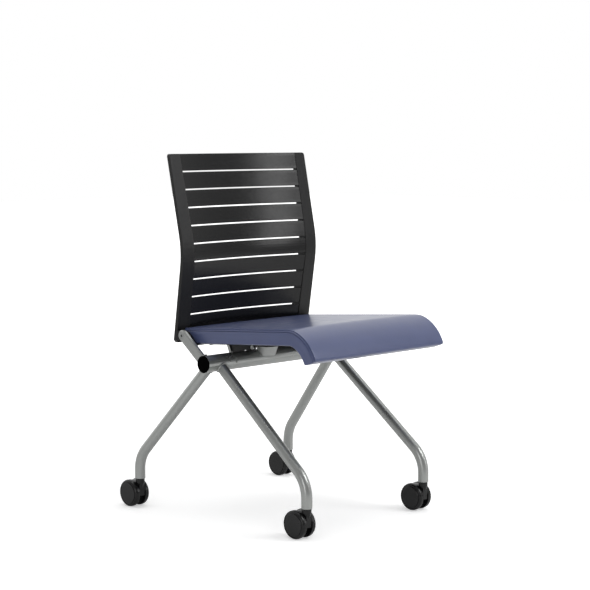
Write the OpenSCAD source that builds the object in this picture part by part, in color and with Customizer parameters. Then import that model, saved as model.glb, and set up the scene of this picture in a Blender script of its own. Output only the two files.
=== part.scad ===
// Nesting chair on four twin-wheel casters. The seat flips up about the two bolts at the
// arms' ends, and the slatted back tilts a little on the same bolts.
// Millimetres, +Z up, the sitter faces -Y. The origin is on the floor, on the middle plane,
// halfway along the chair's length. Inside the modules Y is counted from the front stems.

/* [Frame] */
// Distance from the front caster stems to the rear ones
wheelbase = 511.5; // [470:0.5:560]
// Distance of the cross beam's axis behind the front stems
beam_y = 300.6; // [280:0.1:320]
// Height of the cross beam's axis
beam_z = 366.4; // [345:0.1:390]
// Outer diameter of the cross beam
beam_d = 40; // [34:0.5:46]
// Wall of the cross beam's tube
beam_wall = 2.5; // [1.5:0.1:4]
// Half the length of the cross beam
beam_half_length = 233.5; // [215:0.5:250]
// Thickness of the black caps on the beam's ends
cap_t = 2; // [1:0.5:4]

/* [Legs] */
// Outer diameter of the leg tubes
leg_d = 25; // [22:0.5:28]
// Wall of the leg tubes
leg_wall = 2; // [1.2:0.1:3]
// Height of the tubes' lower ends
leg_end_z = 70.7; // [68:0.1:80]
// Radius of the legs' bends, at the middle of the tube
leg_bend_r = 75; // [50:1:85]
// Distance of the front stems from the middle plane
front_foot_x = 198.6; // [185:0.1:215]
// Distance of the front legs' tops from the beam's ends
front_top_inset = 45.2; // [43:0.1:60]
// Height where the straight runs of a front leg would meet
front_knee_z = 127.8; // [118:0.1:145]
// Distance of the rear stems from the middle plane
rear_foot_x = 252.2; // [240:0.1:270]
// Gap between the rear legs' tops and the arms
leg_arm_gap = 0.5; // [0.3:0.1:3]
// Height where the straight runs of a rear leg would meet
rear_knee_z = 122.5; // [112:0.1:140]

/* [Casters] */
// Diameter of the wheels
wheel_d = 65; // [58:0.5:68]
// Thickness of one wheel
wheel_t = 13.5; // [10:0.5:14.5]
// Width of a caster over both wheels
caster_w = 44.5; // [42:0.5:50]
// Distance of the axle behind the stem
caster_trail = 22.5; // [18:0.5:24]
// Diameter of the housing's neck
neck_d = 21.4; // [20:0.1:25]
// Diameter of the axles
axle_d = 6; // [4:0.5:8]
// Diameter of the stems where the housing turns on them
stem_d = 8; // [6:0.5:9]
// Diameter of the stems inside the legs
stem_grip_d = 11; // [10:0.5:13]

/* [Seat] */
// Thickness of the cushion
seat_t = 36; // [28:0.5:44]
// Half the seat's width at the front
seat_half_w = 219.6; // [205:0.1:230]
// Gap between the seat's rear end and each bracket
seat_side_gap = 2.7; // [1.5:0.1:12]
// Distance of the seat's rear edge behind the front stems
seat_rear_y = 400.5; // [380:0.5:401]
// Distance of the bend line behind the front stems
crease_y = 32; // [15:0.5:60]
// Height of the bend line
crease_z = 468.7; // [455:0.1:485]
// Slope of the seat in degrees, down to the rear
seat_rake = 4.4; // [2:0.1:7]
// Outer radius of the front roll
roll_r = 97.5; // [80:0.5:115]
// Slope where the front roll starts, in degrees
roll_start = 9.1; // [4:0.1:14]
// Slope where the front roll ends, in degrees
roll_end = 71; // [55:1:80]
// Radius of the rear corners seen from above
seat_corner_r = 9; // [7:0.5:40]
// Height of the crown over the seams
seat_crown = 4; // [1:0.5:8]
// How far the sides are drawn in between their edges
side_pull = 1.6; // [0:0.1:4]
// How far the piping stands out of the side
piping_out = 0.9; // [0:0.1:2]
// Thickness of the moulded shell under the cushion
shell_t = 5; // [3:0.5:7]
// Distance of the shell's edge from the seat's side
shell_inset = 38; // [25:1:60]

/* [Seat supports] */
// Thickness of the seat brackets that turn on the pivot bolts
ear_t = 3; // [2.5:0.1:3.2]
// Gap between a seat bracket and the back's lug beside it
ear_gap = 0.9; // [0.5:0.1:1]
// Distance of the seat rails from the middle plane, to their middles
rail_x = 97; // [80:0.5:130]
// Thickness of the seat rails
rail_t = 6; // [5:0.5:12]
// Thickness of the guide plates beside the rails
guide_t = 3; // [2:0.5:5]
// Gap between a rail and each guide plate
guide_gap = 1; // [0.4:0.1:2]
// Thickness of the saddle plate on the beam
saddle_t = 3; // [2:0.5:5]
// Top diameter of the rest cup
cup_top_d = 53; // [40:1:60]
// Bottom diameter of the rest cup
cup_bottom_d = 40; // [30:1:46]
// Height of the rest cup's rim
cup_top_z = 394.6; // [391:0.1:398]
// Height of the rest cup's lower edge
cup_bottom_z = 373.2; // [370:0.1:380]

/* [Back] */
// Height of the back's lower edge
back_bottom_z = 406; // [404:0.5:412]
// Height of the back's upper edge
back_top_z = 851; // [780:1:900]
// Height where the back's two straight runs would meet
back_knee_z = 622.6; // [590:0.5:650]
// Distance behind the front stems where the two runs would meet
back_knee_y = 378.5; // [376:0.5:386]
// Lean of the upper run in degrees
upper_lean = 12; // [6:0.5:18]
// Lean of the lower run in degrees
lower_lean = 8.5; // [8:0.1:12]
// Radius between the two runs
back_knee_r = 215; // [120:5:300]
// Height of the gaps between the slats
slat_gap = 3.2; // [3:0.1:8]
// Height of the uppermost slat
top_slat_h = 40; // [30:0.5:50]
// Height of the lowest slat, of which the seat hides a part
bottom_slat_h = 63.5; // [40:0.1:80]
// Thickness of the slats
slat_t = 5; // [3:0.5:7]
// How deep the slats' hollow is in the middle
slat_hollow = 18; // [8:0.5:30]
// Width of the uprights' flanges at the top
flange_w_top = 32.5; // [28:0.5:45]
// Width of the uprights' flanges at the bottom
flange_w_bottom = 38.5; // [34:0.5:50]
// Gap between the back's lower corners and the arms
back_side_gap = 1; // [0.6:0.1:1.2]
// How far each side of the back stands out at the top
back_flare = 3; // [0:0.5:12]
// Thickness of the uprights' front flange
flange_t = 10; // [8:0.5:14]
// Depth of the uprights' rear rib, from the front face
rib_depth = 28; // [20:0.5:36]
// Depth of the rear rib at the top
rib_depth_top = 11; // [10.5:0.5:16]
// Thickness of the rear rib
rib_t = 12; // [8:0.5:16]

/* [Back pivot] */
// Distance of the back's pivot behind the front stems
pivot_y = 378; // [374:0.5:382]
// Height of the back's pivot
pivot_z = 426.7; // [422:0.1:430]
// Width of the arms
arm_w = 26; // [20:0.5:28]
// Thickness of the arms
arm_t = 11; // [8:0.5:11]
// Diameter of the pivot bolts
pivot_bolt_d = 10; // [8:0.5:12]
// Thickness of the uprights' lugs
lug_t = 5; // [4:0.1:5.2]
// Gap between an arm and the lug beside it
lug_gap = 1.3; // [1.2:0.1:1.6]
// How far the back can tilt, in degrees
back_tilt_max = 8; // [4:0.5:12]

/* [Hidden] */

$fn = 64;

frame_grey = "#9A9C9B";
steel = "#B8BABC";
satin_black = "#2A2A2A";
gloss_black = "#4A4A4C";
cap_black = "#080808";
seat_blue = "#5C607C";
rubber_black = "#1C1C1C";
nylon_white = "#D8D8D0";

// Radial gap of a pin or shaft that turns in its bore
running_gap = 0.05;
// Gap of a piece that is pushed into place, and of soft pieces beside hard ones
slip_gap = 0.1;
soft_gap = 0.3;
// How far a cutting shape runs past what it cuts
overrun = 1;
// Wall of the plain bushes on the pivot bolts
bush_wall = 1.5;

wheel_r = wheel_d / 2;
caster_half_w = caster_w / 2;
wheel_inner_x = caster_half_w - wheel_t;
wheel_side_gap = 0.7;
wheel_top_gap = 0.9;
hood_half_w = wheel_inner_x - wheel_side_gap;
hood_setback = 1.5;
hood_low_z = 28;
hub_r = 8;
shield_front = 7.2;
neck_top_gap = 0.5;
neck_top_z = leg_end_z - neck_top_gap;
neck_shoulder_z = 60;
neck_low_z = 48;
stem_low_z = 44;
stem_grip_length = 20;
socket_length = 22;
wheel_web_t = 2.6;
axle_end_gap = 0.6;
axle_half_length = caster_half_w - wheel_web_t - axle_end_gap;

beam_r = beam_d / 2;
beam_bore_r = beam_r - beam_wall;
cap_plug_length = 14;
cap_plug_wall = 2;
leg_r = leg_d / 2;
leg_bore_r = leg_r - leg_wall;

// Radius that a tube gains in its bend, and how far the straight runs reach into the bend
bend_swell = 0.05;
bend_lap = 1;

// Half the chair's length, which puts the origin in its middle
roll_centre_y = crease_y + roll_r * sin(roll_start);
roll_centre_z = crease_z - roll_r * cos(roll_start);
roll_inner_r = roll_r - seat_t;
seat_front_y = roll_centre_y - roll_r * sin(roll_end);
chair_rear_y = wheelbase + caster_trail + wheel_r;
origin_y = (seat_front_y + chair_rear_y) / 2;

// Height of the cushion's underside, and of its seam, at a distance behind the front stems
function seam_z(y) = crease_z - (y - crease_y) * tan(seat_rake);
function under_z(y) = seam_z(y) - seat_t / cos(seat_rake);
// Height of the shell's underside
function shell_low_z(y) = under_z(y) - (soft_gap + shell_t) / cos(seat_rake);

// Front face of the uprights: two straight runs joined by an arc
knee_half_turn = (upper_lean + lower_lean) / 2;
knee_reach = back_knee_r * tan(knee_half_turn);
knee_top_z = back_knee_z + knee_reach * cos(upper_lean);
knee_low_z = back_knee_z - knee_reach * cos(lower_lean);
knee_top_y = back_knee_y + knee_reach * sin(upper_lean);
knee_centre_y = knee_top_y + back_knee_r * cos(upper_lean);
knee_centre_z = knee_top_z - back_knee_r * sin(upper_lean);
function back_y(z) =
    z > knee_top_z ? back_knee_y + (z - back_knee_z) * tan(upper_lean) :
    z < knee_low_z ? back_knee_y + (back_knee_z - z) * tan(lower_lean) :
    knee_centre_y - sqrt(pow(back_knee_r, 2) - pow(z - knee_centre_z, 2));

arm_inner_x = beam_half_length - arm_t;
arm_chamfer = 2.5;
upright_outer_bottom = arm_inner_x - back_side_gap;
upright_inner_bottom = upright_outer_bottom - flange_w_bottom;
upright_outer_top = upright_outer_bottom + back_flare;
upright_inner_top = upright_outer_top - flange_w_top;
function back_height_share(z) = (z - back_bottom_z) / (back_top_z - back_bottom_z);
function inner_x(z) = upright_inner_bottom
    + (upright_inner_top - upright_inner_bottom) * back_height_share(z);
lug_outer_x = arm_inner_x - lug_gap;
lug_inner_x = lug_outer_x - lug_t;
ear_outer_x = lug_inner_x - ear_gap;
ear_inner_x = ear_outer_x - ear_t;

// The legs' tops, the back and the seat's rear end all follow the beam and the arms
front_top_x = beam_half_length - front_top_inset;
rear_top_x = arm_inner_x - leg_r - leg_arm_gap;
seat_rear_half_w = ear_inner_x - seat_side_gap;

// Moves a piece drawn from the front stems to the chair's own origin
module chair() {
    translate([0, -origin_y, 0]) children();
}

// Side 1 is the sitter's left, at +X, and side -1 is the right
module sided(side) {
    if (side > 0) children();
    else mirror([1, 0, 0]) children();
}

// A round bar or bore along X through a point of the side view
module rod_x(r, x_low, x_high, y, z) {
    translate([x_low, y, z]) rotate([0, 90, 0]) cylinder(r = r, h = x_high - x_low);
}

// Extrudes an outline drawn as [y, z] from one X to another
module along_x(x_low, x_high) {
    translate([x_low, 0, 0]) rotate([90, 0, 90]) linear_extrude(x_high - x_low) children();
}

// Outline of a strap between two round ends, drawn as [y, z]
module strap(a, ra, b, rb) {
    hull() {
        translate(a) circle(r = ra);
        translate(b) circle(r = rb);
    }
}

// Cross beam and its end caps
module cross_beam() {
    color(frame_grey) chair() difference() {
        rod_x(beam_r, -beam_half_length, beam_half_length, beam_y, beam_z);
        rod_x(beam_bore_r, -beam_half_length - overrun, beam_half_length + overrun,
            beam_y, beam_z);
    }
}

module beam_cap(side) {
    plug_r = beam_bore_r - slip_gap;
    plug_start = beam_half_length - cap_plug_length;
    color(cap_black) chair() sided(side) difference() {
        union() {
            rod_x(beam_r, beam_half_length, beam_half_length + cap_t, beam_y, beam_z);
            rod_x(plug_r, plug_start, beam_half_length, beam_y, beam_z);
        }
        rod_x(plug_r - cap_plug_wall, plug_start - overrun, beam_half_length, beam_y, beam_z);
    }
}

// A leg's solid form: a foot stub, a bend and a straight run up to the beam's axis
module leg_form(r, foot, top, knee_z, low_z) {
    run = [top[0] - foot[0], top[1] - foot[1]];
    lean = atan2(norm(run), beam_z - knee_z);
    cut_back = leg_bend_r * tan(lean / 2);
    straight = norm([norm(run), beam_z - knee_z]) - cut_back;
    translate([foot[0], foot[1], 0]) rotate([0, 0, atan2(run[1], run[0])]) {
        translate([0, 0, low_z]) cylinder(r = r, h = knee_z - cut_back + bend_lap - low_z);
        translate([leg_bend_r, 0, knee_z - cut_back]) rotate([90, 0, 0])
            rotate([0, 0, 180 - lean]) rotate_extrude(angle = lean, $fn = 96)
                translate([leg_bend_r, 0]) circle(r = r + bend_swell, $fn = 64);
        translate([0, 0, knee_z]) rotate([0, lean, 0]) translate([0, 0, cut_back - bend_lap])
            cylinder(r = r, h = straight + bend_lap);
    }
}

module leg(side, foot, top, knee_z) {
    color(frame_grey) chair() sided(side) difference() {
        leg_form(leg_r, foot, top, knee_z, leg_end_z);
        leg_form(leg_bore_r, foot, top, knee_z, leg_end_z - overrun);
        rod_x(beam_r, 0, beam_half_length + beam_d, beam_y, beam_z);
    }
}

module front_leg(side) {
    leg(side, [front_foot_x, 0], [front_top_x, beam_y], front_knee_z);
}

module rear_leg(side) {
    leg(side, [rear_foot_x, wheelbase], [rear_top_x, beam_y], rear_knee_z);
}

// Arms that carry the back, welded to the beam's ends
arm_run = [pivot_y - beam_y, pivot_z - beam_z];
arm_angle = atan2(arm_run[1], arm_run[0]);
bolt_head_r = pivot_bolt_d * 0.8;
bolt_head_t = 4;

module arm_form() {
    hull() for (end = [[beam_y, beam_z], [pivot_y, pivot_z]]) {
        rod_x(arm_w / 2, arm_inner_x + arm_chamfer, beam_half_length - arm_chamfer,
            end[0], end[1]);
        rod_x(arm_w / 2 - arm_chamfer, arm_inner_x, beam_half_length, end[0], end[1]);
    }
}

module back_arm(side) {
    color(frame_grey) chair() sided(side) difference() {
        arm_form();
        rod_x(beam_r, 0, beam_half_length + beam_d, beam_y, beam_z);
        rod_x(pivot_bolt_d / 2 + running_gap, 0, beam_half_length + overrun, pivot_y, pivot_z);
        rod_x(bolt_head_r + slip_gap, beam_half_length - bolt_head_t,
            beam_half_length + overrun, pivot_y, pivot_z);
        stop_pin(running_gap);
    }
}

// Bolts that the back and the seat turn on, each with a socket for its key
module pivot_bolts() {
    key_af = 6;
    key_depth = 3;
    color(steel) chair() for (side = [-1, 1]) sided(side) difference() {
        union() {
            rod_x(pivot_bolt_d / 2, ear_inner_x, beam_half_length - bolt_head_t,
                pivot_y, pivot_z);
            rod_x(bolt_head_r, beam_half_length - bolt_head_t, beam_half_length,
                pivot_y, pivot_z);
        }
        translate([beam_half_length - key_depth, pivot_y, pivot_z]) rotate([0, 90, 0])
            cylinder(d = key_af / cos(30), h = key_depth + overrun, $fn = 6);
    }
}

// Pin in each arm that runs in a short slot of the lug and limits the tilt
stop_pin_r = 2;
stop_pin_reach = 11;
stop_pin_depth = 6;

slot_floor_x = lug_inner_x + lug_t / 2;

function stop_pin_place(turn) = [
    pivot_y - stop_pin_reach * cos(arm_angle + turn),
    pivot_z - stop_pin_reach * sin(arm_angle + turn)];

module stop_pin(gap) {
    rod_x(stop_pin_r + gap, slot_floor_x + slip_gap, arm_inner_x + stop_pin_depth,
        stop_pin_place(0)[0], stop_pin_place(0)[1]);
}

module stop_slot() {
    r = stop_pin_r + slip_gap;
    along_x(slot_floor_x, lug_outer_x + overrun)
        strap(stop_pin_place(0), r, stop_pin_place(back_tilt_max), r);
}

module tilt_stop_pins() {
    color(steel) chair() for (side = [-1, 1]) sided(side) stop_pin(0);
}

// Saddle plate on the beam's front, which stiffens it below the rest cup. Like the cup it
// is on the sitter's right only.
saddle_x_low = 30;
saddle_x_high = 148;
saddle_wrap = 115;
saddle_edges = [[saddle_x_low, beam_z - saddle_t], [saddle_x_high, beam_z - saddle_t],
    [saddle_x_high, beam_z + beam_r * 0.53], [rail_x + rail_t, beam_z + beam_r * 0.63],
    [rail_x - rail_t, beam_z + beam_r * 0.58], [cup_bottom_d, beam_z + beam_r * 0.2],
    [saddle_x_low, beam_z + beam_r * 0.2]];

module beam_saddle_form() {
    intersection() {
        translate([saddle_x_low, beam_y, beam_z]) rotate([90, 0, 90])
            rotate([0, 0, 90]) rotate_extrude(angle = saddle_wrap, $fn = 96)
                translate([beam_r, 0]) square([saddle_t, saddle_x_high - saddle_x_low]);
        translate([0, beam_y, 0]) rotate([90, 0, 0])
            linear_extrude(2 * beam_d) polygon(saddle_edges);
    }
}

module beam_saddle() {
    color(frame_grey) chair() sided(-1) beam_saddle_form();
}

// Guides behind the beam: two plates that stand on a block and keep a rail from side play
guide_inner_x = rail_x - rail_t / 2 - guide_gap - guide_t;
guide_outer_x = rail_x + rail_t / 2 + guide_gap;
guide_tip_r = 3.8;
guide_foot = [beam_y + beam_r * 0.8, beam_z - beam_r * 0.5];
guide_foot_r = beam_r * 0.55;
guide_elbow = [beam_y + beam_r * 2.4, beam_z + beam_r * 0.35];
guide_tip = [beam_y + beam_r * 2.85, beam_z + beam_r * 1.35];

module rail_guide(side) {
    color(frame_grey) chair() sided(side) difference() {
        union() {
            along_x(guide_inner_x, guide_inner_x + guide_t)
                strap(guide_elbow, guide_tip_r, guide_tip, guide_tip_r);
            along_x(guide_outer_x, guide_outer_x + guide_t)
                strap(guide_elbow, guide_tip_r, guide_tip, guide_tip_r);
            along_x(guide_inner_x, guide_outer_x + guide_t)
                strap(guide_foot, guide_foot_r, guide_elbow, guide_tip_r);
        }
        rod_x(beam_r, 0, beam_half_length, beam_y, beam_z);
    }
}

// Cup welded on the beam, with the rubber bumper that the seat rests on
cup_x = 46.4;
cup_y = beam_y - beam_r * 0.9;
cup_wall = 2.5;
bumper_r = cup_bottom_d / 2 - cup_wall;
cup_floor_z = beam_z + beam_r + cup_wall;

module rest_cup() {
    h = cup_top_z - cup_bottom_z;
    color(frame_grey) chair() sided(-1) difference() {
        translate([cup_x, cup_y, cup_bottom_z])
            cylinder(d1 = cup_bottom_d, d2 = cup_top_d, h = h);
        translate([cup_x, cup_y, cup_floor_z]) cylinder(r = bumper_r + slip_gap, h = h);
        rod_x(beam_r, 0, beam_half_length, beam_y, beam_z);
        beam_saddle_form();
    }
}

module rest_bumper() {
    seat_size = 2 * cup_top_d;
    color(rubber_black) chair() sided(-1) difference() {
        translate([cup_x, cup_y, cup_floor_z])
            cylinder(r = bumper_r, h = shell_low_z(cup_y) + seat_size / 4 - cup_floor_z);
        translate([cup_x, cup_y, shell_low_z(cup_y) - slip_gap]) rotate([-seat_rake, 0, 0])
            translate([-seat_size / 2, -seat_size / 2, 0]) cube(seat_size);
    }
}

// Plastic sockets in the legs' ends, and the caster stems that they hold
module at_feet() {
    for (side = [-1, 1]) sided(side) {
        translate([front_foot_x, 0, 0]) children();
        translate([rear_foot_x, wheelbase, 0]) children();
    }
}

module stem_sockets() {
    color(nylon_white) chair() at_feet() difference() {
        translate([0, 0, leg_end_z]) cylinder(r = leg_bore_r - slip_gap, h = socket_length);
        translate([0, 0, leg_end_z - overrun])
            cylinder(d = stem_grip_d + 2 * running_gap, h = socket_length + 2 * overrun);
    }
}

module at_foot(side, front) {
    chair() sided(side)
        translate(front ? [front_foot_x, 0, 0] : [rear_foot_x, wheelbase, 0]) children();
}

module caster_stem(side, front) {
    color(steel) at_foot(side, front) {
        translate([0, 0, stem_low_z]) cylinder(d = stem_d, h = leg_end_z - stem_low_z);
        translate([0, 0, leg_end_z]) cylinder(d = stem_grip_d, h = stem_grip_length);
    }
}

// Housing between the two wheels: a neck on the stem, a front shield and a hood
module caster_housing(side, front) {
    color(satin_black) at_foot(side, front) difference() {
        union() {
            translate([0, 0, neck_shoulder_z])
                cylinder(d = neck_d, h = neck_top_z - neck_shoulder_z);
            translate([0, 0, neck_low_z])
                cylinder(d1 = 2 * shield_front, d2 = neck_d, h = neck_shoulder_z - neck_low_z);
            intersection() {
                rod_x(wheel_r - hood_setback, -hood_half_w, hood_half_w, caster_trail, wheel_r);
                translate([-hood_half_w, -shield_front, hood_low_z])
                    cube([2 * hood_half_w, shield_front + caster_trail + wheel_r, wheel_d]);
            }
            translate([-hood_half_w, -shield_front, hood_low_z])
                cube([2 * hood_half_w, shield_front + caster_trail,
                    neck_shoulder_z - hood_low_z]);
            rod_x(hub_r, -hood_half_w, hood_half_w, caster_trail, wheel_r);
        }
        rod_x(wheel_r + wheel_top_gap, hood_half_w, caster_w, caster_trail, wheel_r);
        rod_x(wheel_r + wheel_top_gap, -caster_w, -hood_half_w, caster_trail, wheel_r);
        translate([0, 0, stem_low_z - neck_top_gap])
            cylinder(d = stem_d + 2 * running_gap, h = neck_top_z);
        rod_x(axle_d / 2, -caster_w, caster_w, caster_trail, wheel_r);
    }
}

module caster_axle(side, front) {
    color(steel) at_foot(side, front)
        rod_x(axle_d / 2, -axle_half_length, axle_half_length, caster_trail, wheel_r);
}

// A wheel's half section as [radius, distance from its inner face]
rim_shares = [[0.985, 0], [1, 0.08], [1, 0.5], [0.985, 0.68], [0.955, 0.81], [0.91, 0.9],
    [0.865, 0.94], [0.84, 0.94], [0.84, 0.84], [0.8, 0.84], [0.8, 0.95], [0.77, 1]];

module wheel_section() {
    bore = axle_d / 2 + running_gap;
    polygon(concat([[bore, 0]],
        [for (p = rim_shares) [p[0] * wheel_r, p[1] * wheel_t]],
        [[0, wheel_t], [0, wheel_t - wheel_web_t], [bore, wheel_t - wheel_web_t]]));
}

module wheel(side, front, outer) {
    color(satin_black) at_foot(side, front) sided(outer ? 1 : -1)
        translate([wheel_inner_x, caster_trail, wheel_r]) rotate([0, 90, 0])
            rotate_extrude($fn = 96) wheel_section();
}

// Where the seat's brackets end, and the cushion's sides stay clear of them behind it
ear_length = 36;
ear_end = [pivot_y - ear_length * cos(arm_angle), pivot_z - ear_length * sin(arm_angle)];
foot_shift = 2;
foot_y = ear_end[0] + foot_shift;
foot_half_length = 9;
bracket_front_y = foot_y - foot_half_length - soft_gap;

// Cushion: rings along its length, each one standing on the underside.
// A ring is [base as [y, z], direction up, thickness, half width, inset of its edges].
roll_flat_turn = acos((([crease_y, under_z(crease_y)] - [roll_centre_y, roll_centre_z])
    * [sin(seat_rake), cos(seat_rake)]) / roll_inner_r) - seat_rake;
taper_start_y = 100;
edge_round = 3;
function taper_half_w(y) = y < taper_start_y ? seat_half_w :
    seat_half_w + (seat_rear_half_w - seat_half_w)
        * (y - taper_start_y) / (seat_rear_y - taper_start_y);
function side_half_w(y) = y < bracket_front_y ? taper_half_w(y) :
    min(taper_half_w(y), ear_inner_x - soft_gap);
function corner_drop(t) = t > seat_corner_r ? 0 :
    seat_corner_r - sqrt(pow(seat_corner_r, 2) - pow(seat_corner_r - t, 2));
function flat_ring(y, inset) = [[y, under_z(y)], [sin(seat_rake), cos(seat_rake)], seat_t,
    side_half_w(y) - corner_drop(seat_rear_y - y), inset];
function roll_point(r, turn) = [roll_centre_y - r * sin(turn), roll_centre_z + r * cos(turn)];
function roll_ring(turn, inset) = [roll_point(roll_inner_r, turn), [-sin(turn), cos(turn)],
    seat_t, seat_half_w, inset];
function crease_ring(low, high) = [low, (high - low) / norm(high - low), norm(high - low),
    seat_half_w, 0];

corner_shares = [0, 0.03, 0.1, 0.22, 0.42, 0.68, 1];
flat_shares = [0.18, 0.38, 0.6, 0.79, 0.93];
roll_shares = [0.12, 0.26, 0.42, 0.58, 0.74, 0.88, 0.97, 1];
rings = concat(
    [for (s = corner_shares)
        flat_ring(seat_rear_y - s * seat_corner_r, s == 0 ? edge_round : 0)],
    [flat_ring(bracket_front_y, 0)],
    [for (s = flat_shares) flat_ring(bracket_front_y + s * (crease_y - bracket_front_y), 0)],
    [crease_ring(roll_point(roll_inner_r, roll_flat_turn), [crease_y, crease_z])],
    [for (s = roll_shares)
        roll_ring(roll_start + s * (roll_end - roll_start), s == 1 ? edge_round / 2 : 0)]);

// Half of a ring's outline from bottom to top: [x as a share of the half width, x added,
// height as a share of the thickness, height added, share of the crown]
function half_outline(t, w, e) = [
    [w - edge_round - e, e],
    [w - edge_round / 5 - e, edge_round * 0.8 + e],
    [w - side_pull - e, t * 0.3],
    [w - side_pull - e, t * 0.62],
    [w - e, t * 0.82 - e],
    [w + piping_out - e, t * 0.87 - e],
    [w + piping_out - e, t * 0.95 - e],
    [w - edge_round / 3 - e, t - e],
    for (s = [0.96, 0.86, 0.68, 0.46, 0.23])
        [s * w, t - e + seat_crown * (1 - s * s)]
];
function ring_points(g) =
    let (half = half_outline(g[2], g[3], g[4]))
    concat(
        [for (p = half) [p[0], g[0][0] + p[1] * g[1][0], g[0][1] + p[1] * g[1][1]]],
        [for (i = [len(half) - 1:-1:0]) let (p = half[i])
            [-p[0], g[0][0] + p[1] * g[1][0], g[0][1] + p[1] * g[1][1]]]);
ring_size = 2 * len(half_outline(seat_t, seat_half_w, 0));
ring_half = ring_size / 2;
function cap_faces(start, flip) = [for (i = [0:ring_half - 2], k = [0, 1])
    let (a = start + i, b = start + i + 1,
        c = start + ring_size - 2 - i, d = start + ring_size - 1 - i,
        tri = k == 0 ? [a, b, c] : [a, c, d])
    flip ? tri : [tri[2], tri[1], tri[0]]];

module seat_cushion() {
    points = [for (g = rings) each ring_points(g)];
    skin = [for (i = [0:len(rings) - 2], j = [0:ring_size - 1], k = [0, 1])
        let (a = i * ring_size + j, b = i * ring_size + (j + 1) % ring_size,
            c = a + ring_size, d = b + ring_size)
        k == 0 ? [a, d, b] : [a, c, d]];
    last = (len(rings) - 1) * ring_size;
    color(seat_blue) chair()
        polyhedron(points, concat(skin, cap_faces(0, true), cap_faces(last, false)));
}

// Moulded shell that backs the cushion and follows its front roll
shell_half_w = seat_rear_half_w - shell_inset;
shell_rear_y = seat_rear_y - shell_inset * 0.45;
shell_stop_short = 16;
shell_front_turn = roll_end - shell_stop_short;
shell_arc_steps = 14;
screw_r = 2;
screw_head_t = 1.8;
rail_screw_shares = [0.12, 0.42, 0.78];
rail_front_y = 85;
flange_rear_y = beam_y + beam_r;
flange_half_w = 13;
flange_thick = 2.5;
rail_screw_side = rail_t / 2 + screw_r * 2.5;

function shell_top_z(y) = under_z(y) - soft_gap / cos(seat_rake);
function shell_outline() =
    let (r = roll_inner_r - soft_gap,
        flat_y = roll_point(r, roll_flat_turn)[0] + 2 * shell_t,
        turns = [for (i = [0:shell_arc_steps])
            roll_flat_turn + (shell_front_turn - roll_flat_turn) * i / shell_arc_steps])
    concat([for (i = [shell_arc_steps:-1:0]) roll_point(r, turns[i])],
        [for (y = [flat_y, shell_rear_y]) [y, shell_top_z(y)]],
        [for (y = [shell_rear_y, flat_y]) [y, shell_low_z(y)]],
        [for (turn = turns) roll_point(r - shell_t, turn)]);

module at_rail_screws() {
    for (s = rail_screw_shares, k = [-1, 1]) {
        y = rail_front_y + s * (flange_rear_y - rail_front_y);
        translate([rail_x + k * rail_screw_side, y, shell_low_z(y)])
            rotate([-seat_rake, 0, 0]) children();
    }
}

module at_bracket_screws() {
    for (x = [foot_inner_x + 3 * screw_r, foot_inner_x + 8 * screw_r])
        translate([x, foot_y, shell_low_z(foot_y)]) rotate([-seat_rake, 0, 0]) children();
}

module seat_shell() {
    color(satin_black) chair() difference() {
        along_x(-shell_half_w, shell_half_w) polygon(shell_outline());
        for (side = [-1, 1]) sided(side) {
            bracket_foot(slip_gap);
            at_rail_screws()
                translate([0, 0, -overrun]) cylinder(r = screw_r + running_gap, h = shell_t);
            at_bracket_screws()
                translate([0, 0, -overrun]) cylinder(r = screw_r + running_gap, h = shell_t);
        }
    }
}

// Brackets that carry the seat on the pivot bolts, each let into the shell's top
ear_eye_r = 8.4;
ear_end_r = 5.5;
foot_reach = 24;
foot_inner_x = shell_half_w - foot_reach;
seat_bush_r = pivot_bolt_d / 2 + running_gap + bush_wall;

module bracket_foot(gap) {
    translate([0, foot_y, under_z(foot_y)]) rotate([-seat_rake, 0, 0])
        translate([foot_inner_x - gap, -foot_half_length - gap, -soft_gap - ear_t - gap])
            cube([ear_outer_x - foot_inner_x + gap, 2 * (foot_half_length + gap),
                ear_t + 2 * gap]);
}

module seat_bracket(side) {
    color(satin_black) chair() sided(side) difference() {
        union() {
            along_x(ear_inner_x, ear_outer_x)
                strap([pivot_y, pivot_z], ear_eye_r, ear_end, ear_end_r);
            bracket_foot(0);
        }
        rod_x(seat_bush_r, 0, beam_half_length, pivot_y, pivot_z);
        at_bracket_screws() cylinder(r = screw_r + running_gap, h = shell_t + ear_t);
    }
}

// Rails under the shell, which straddle the beam and run between the guides
rail_depth = 9;
toe_front_y = beam_y - beam_r * 1.5;
toe_low_z = beam_z + beam_r * 1.03;
beam_clear = 1;

function rail_top_z(y) = shell_low_z(y) - slip_gap;

module rail_outline() {
    tail_low = beam_z + beam_r * 0.62;
    tail_y = guide_tip[0];
    polygon([[rail_front_y, rail_top_z(rail_front_y)],
        [rail_front_y, rail_top_z(rail_front_y) - rail_depth * 0.4],
        [rail_front_y + 2 * rail_depth, rail_top_z(rail_front_y) - rail_depth],
        [toe_front_y - rail_depth * 0.5, rail_top_z(toe_front_y) - rail_depth],
        [toe_front_y, rail_top_z(toe_front_y) - rail_depth * 1.6],
        [toe_front_y + rail_depth * 0.3, toe_low_z],
        [beam_y, toe_low_z],
        [beam_y + beam_r, tail_low],
        [guide_elbow[0], tail_low],
        [tail_y, beam_z + beam_r * 1.1],
        [tail_y + rail_t, rail_top_z(tail_y + rail_t)]]);
}

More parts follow.
